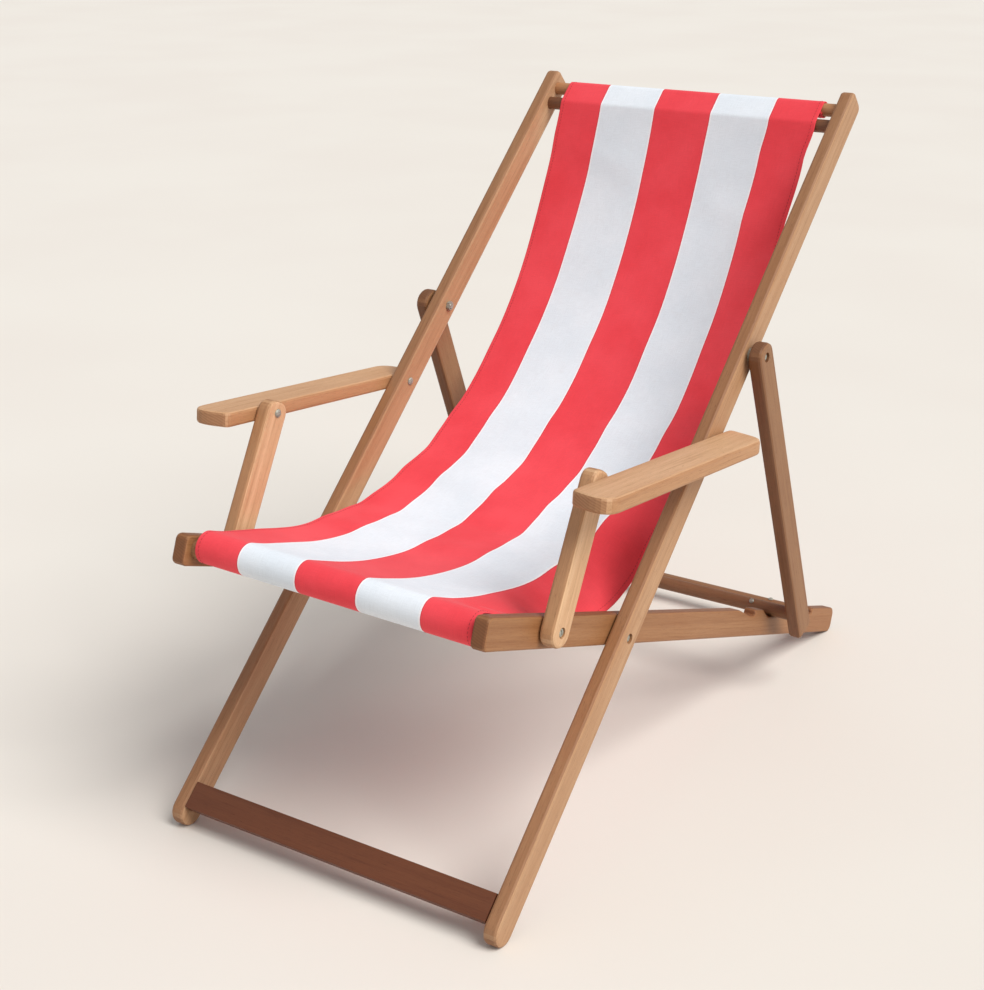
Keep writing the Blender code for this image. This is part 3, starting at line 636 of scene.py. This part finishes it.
def sling_sheet():
    """The cloth with its thickness: thicker at the two side hems, where it is folded under."""
    rows, lengths, start, end = sling_grid()
    count = len(rows[0][2])
    points, uvs = [], []
    for sign in (1, -1):
        for length, share, row in rows:
            for x, place, out, column in row:
                edge = (1 - abs(column)) * SLING_HALF
                thick = CLOTH / 2
                if sign < 0:
                    thick += HEM_EXTRA * (1 - smooth(edge, HEM_WIDTH - HEM_STEP, HEM_WIDTH))
                rim = min(edge / HEM_STEP, 1.0)
                thick *= math.sqrt(max(1 - (1 - rim) ** 2, 0.0)) * 0.75 + 0.25
                spot = place + out * (sign * thick)
                points.append((x, spot.x, spot.y))
                uvs.append((weave_at(column * SLING_HALF, share) + 0.5, length / 2))
    faces = []
    layer = len(rows) * count
    for i in range(len(rows) - 1):
        for j in range(count - 1):
            a, b = i * count + j, i * count + j + 1
            c, d = b + count, a + count
            faces.append((a, b, c, d))
            faces.append((a + layer, d + layer, c + layer, b + layer))
    for i in range(len(rows) - 1):
        for j in (0, count - 1):
            a, d = i * count + j, (i + 1) * count + j
            quad = (a, d, d + layer, a + layer)
            faces.append(quad if j == 0 else quad[::-1])
    for j in range(count - 1):
        for i in (0, len(rows) - 1):
            a, b = i * count + j, i * count + j + 1
            quad = (b, a, a + layer, b + layer)
            faces.append(quad if i == 0 else quad[::-1])
    obj = new_object("sling_canvas", points, faces, canvas())
    layer_uv = obj.data.uv_layers.new(name="cloth")
    for loop in obj.data.loops:
        layer_uv.data[loop.index].uv = uvs[loop.vertex_index]
    return obj, rows, lengths, start, end


def stitch(points, faces, centre, ahead, across, out):
    """Adds one stitch: a short thread that dips into the cloth at both ends."""
    sides, rings = 6, 5
    base = len(points)
    for ring in range(rings):
        t = ring / (rings - 1)
        bow = math.sin(math.pi * t)
        spot = centre + ahead * ((t - 0.5) * STITCH_LENGTH)
        spot += out * (STITCH_RADIUS * (1.1 * bow - 0.5))
        size = STITCH_RADIUS * (0.55 + 0.45 * bow)
        for side in range(sides):
            turn = 2 * math.pi * side / sides
            round_thread = across * (size * math.cos(turn)) + out * (size * math.sin(turn))
            points.append(spot + round_thread)
    for ring in range(rings - 1):
        for side in range(sides):
            a = base + ring * sides + side
            b = base + ring * sides + (side + 1) % sides
            faces.append((a, a + sides, b + sides, b))
    faces.append(tuple(base + side for side in range(sides)))
    faces.append(tuple(base + (rings - 1) * sides + side for side in reversed(range(sides))))


def seam_path(rows, side):
    """The line that a hem's stitches follow, and the cloth's upward normal along it."""
    line, normals = [], []
    for _, share, row in rows:
        target = side * (half_width(share, side) - STITCH_INSET)
        middles = [abs((low[0] + high[0]) / 2 - target) for low, high in zip(row, row[1:])]
        best = middles.index(min(middles))
        (x0, p0, out, _), (x1, p1, _, _) = row[best], row[best + 1]
        spot = p0.lerp(p1, (target - x0) / (x1 - x0))
        line.append(Vector((target, spot.x, spot.y)))
        normals.append(Vector((0, out.x, out.y)))
    return line, normals


def stitching(rows, lengths):
    """The rows of stitches that hold the side hems, on both sides of the cloth."""
    points, faces = [], []
    for side in (-1, 1):
        line, normals = seam_path(rows, side)
        index = 0
        for step in range(1, int(lengths[-1] / STITCH_PITCH)):
            place = step * STITCH_PITCH
            while lengths[index + 1] < place:
                index += 1
            t = (place - lengths[index]) / (lengths[index + 1] - lengths[index])
            centre = line[index].lerp(line[index + 1], t)
            out = normals[index].lerp(normals[index + 1], t).normalized()
            ahead = (line[index + 1] - line[index]).normalized()
            across = ahead.cross(out).normalized()
            for face in (1, -1):
                skin = CLOTH / 2 + (HEM_EXTRA if face < 0 else 0)
                place_on = centre + out * (face * skin)
                stitch(points, faces, place_on, ahead, across * face, out * face)
    return new_object("sling_stitching", points, faces, thread())


def sling():
    cloth, rows, lengths, start, end = sling_sheet()
    seams = stitching(rows, lengths)
    for piece in (cloth, seams):
        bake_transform(piece)
    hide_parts("sling")


# ---------------------------------------------------------------- floor, light, camera


def floor():
    size = 40.0
    corners = [(-size, -size, 0), (size, -size, 0), (size, size, 0), (-size, size, 0)]
    n = Nodes("pale floor")
    place = n.add("TexCoord").outputs["Object"]
    cloud = n.noise(place, 1.1, 2, 0.5)
    colour = n.mix(n.ramp(cloud, 0.3, 0.7), linear(228, 221, 212), linear(230, 224, 215))
    n.join(colour, n.shader.inputs["Base Color"])
    n.shader.inputs["Roughness"].default_value = 0.8
    new_object("floor", corners, [(0, 1, 2, 3)], n.material)


def lamp(kind, name, place, target, colour, **settings):
    data = bpy.data.lights.new(name, kind)
    data.color = colour
    for key, value in settings.items():
        setattr(data, key, value)
    obj = bpy.data.objects.new(name, data)
    bpy.context.scene.collection.objects.link(obj)
    obj.location = place
    obj.rotation_euler = (Vector(target) - Vector(place)).to_track_quat("-Z", "Y").to_euler()


def lights():
    aim = (0, 0, 0.4)
    key = {"energy": 3.0, "angle": math.radians(38)}
    lamp("SUN", "key", (2.2, -0.2, 3.0), aim, (1.0, 0.985, 0.965), **key)
    lamp("AREA", "front fill", (-1.0, -3.4, 2.2), aim, (0.97, 0.98, 1.0), energy=2, size=2.6)
    world = bpy.data.worlds.new("studio")
    world.use_nodes = True
    background = world.node_tree.nodes["Background"]
    background.inputs["Color"].default_value = (0.93, 0.96, 1.0, 1)
    background.inputs["Strength"].default_value = 0.45
    bpy.context.scene.world = world
    bpy.context.scene.view_settings.view_transform = "Standard"


# Turn, tilt and roll in degrees, place in metres, and lens in mm on a 36 mm frame.
CAMERA_ANGLES = (33.4726, -19.3665, -0.4143)
CAMERA_AT = (1.2587, -2.0307, 1.2883)
CAMERA_LENS = 62.52
CAMERA_SHIFT = (-0.00588, -0.04883)


def camera():
    turn, tilt, roll = (math.radians(angle) for angle in CAMERA_ANGLES)
    forward = Vector(
        (-math.sin(turn) * math.cos(tilt), math.cos(turn) * math.cos(tilt), math.sin(tilt))
    )
    right = Vector((math.cos(turn), math.sin(turn), 0))
    up = right.cross(forward)
    rolled_right = math.cos(roll) * right + math.sin(roll) * up
    rolled_up = -math.sin(roll) * right + math.cos(roll) * up
    matrix = Matrix((rolled_right, rolled_up, -forward)).transposed().to_4x4()
    matrix.translation = Vector(CAMERA_AT)
    data = bpy.data.cameras.new("camera")
    data.sensor_fit = "AUTO"
    data.sensor_width = 36
    data.lens = CAMERA_LENS
    data.shift_x, data.shift_y = CAMERA_SHIFT
    obj = bpy.data.objects.new("camera", data)
    obj.matrix_world = matrix
    bpy.context.scene.collection.objects.link(obj)
    bpy.context.scene.camera = obj


paint_wood()
paint_zinc()
sling()
floor()
lights()
camera()

bpy.context.view_layer.update()
